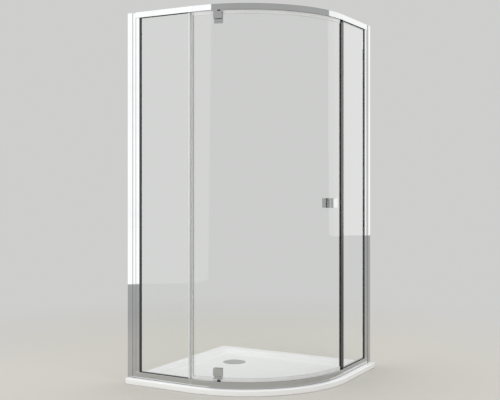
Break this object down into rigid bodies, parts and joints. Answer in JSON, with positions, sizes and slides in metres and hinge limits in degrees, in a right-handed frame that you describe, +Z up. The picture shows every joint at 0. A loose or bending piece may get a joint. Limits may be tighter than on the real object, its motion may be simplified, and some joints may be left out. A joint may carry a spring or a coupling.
{
  "type": "quadrant shower enclosure",
  "caption": "Corner shower enclosure with a quarter-circle front: low tray, chrome frame, fixed clear glass panels and a curved glass door that pivots outwards.",
  "frame": {"origin": "centre of the tray's underside, on the floor", "axes": "+Z is up. The room's walls stand at -X (left) and +Y (back). The left panel faces -Y, the right panel faces +X, and the curved door faces the corner between them."},
  "size_m": [1, 1, 1.93],
  "materials": {
    "tray": "glossy white acrylic",
    "glass": "clear toughened glass",
    "chrome": "polished",
    "steel": "satin",
    "nylon": "moulded",
    "clear_seal": "translucent",
    "magnet_seal": "dark magnetic strip",
    "dark_gasket": "matt",
    "sealant": "silicone"
  },
  "bodies": {
    "enclosure": {"bottom_rail_curved": "chrome", "bottom_rail_left": "chrome", "bottom_rail_right": "chrome", "left_edge_seal": "clear_seal", "left_fixed_glass": "glass", "left_frame_stile": "chrome", "left_glazing_gasket": "dark_gasket", "left_glazing_profile": "chrome", "left_profile_cap": "chrome", "left_rail_gaskets": "dark_gasket", "left_wall_profile": "chrome", "lock_screw_caps": "chrome", "lower_pivot_block": "nylon", "lower_pivot_bush": "nylon", "pivot_block_screws": "steel", "profile_lock_screws": "steel", "rail_end_connectors": "nylon", "rail_end_screws": "steel", "rail_joiners": "nylon", "rail_joint_clips": "chrome", "right_fixed_glass": "glass", "right_frame_stile": "chrome", "right_glazing_gasket": "dark_gasket", "right_glazing_profile": "chrome", "right_magnet_seal": "magnet_seal", "right_profile_cap": "chrome", "right_rail_gaskets": "dark_gasket", "right_wall_profile": "chrome", "shower_tray": "tray", "top_rail_curved": "chrome", "top_rail_left": "chrome", "top_rail_right": "chrome", "tray_joint_seal": "sealant", "upper_pivot_block": "nylon", "upper_pivot_bush": "nylon", "waste_flange": "nylon", "waste_gasket": "dark_gasket"},
    "door": {"clamp_gaskets": "dark_gasket", "clamp_screws": "steel", "door_bottom_seal_long": "clear_seal", "door_bottom_seal_short": "clear_seal", "door_edge_strip": "clear_seal", "door_glass": "glass", "door_magnet_seal": "magnet_seal", "door_top_seal_long": "clear_seal", "door_top_seal_short": "clear_seal", "handle_gaskets": "dark_gasket", "handle_screws": "steel", "inner_handle": "chrome", "lower_clamp_inner": "chrome", "lower_clamp_outer": "chrome", "lower_pivot_pin": "steel", "lower_thrust_washer": "nylon", "outer_handle": "chrome", "pin_grub_screws": "steel", "upper_clamp_inner": "chrome", "upper_clamp_outer": "chrome", "upper_pivot_pin": "steel"},
    "waste_cover": {"drain_cover": "chrome", "hair_strainer": "steel"}
  },
  "joints": [
    {"name": "door_hinge", "type": "hinge", "parent": "enclosure", "child": "door", "pos_m": [0.03233, -0.43075, 0.98], "axis": [0, 0, -1], "range_deg": [0, 95]},
    {"name": "cover_lift", "type": "slide", "parent": "enclosure", "child": "waste_cover", "axis": [0, 0, 1], "range_m": [0, 0.06]}
  ]
}
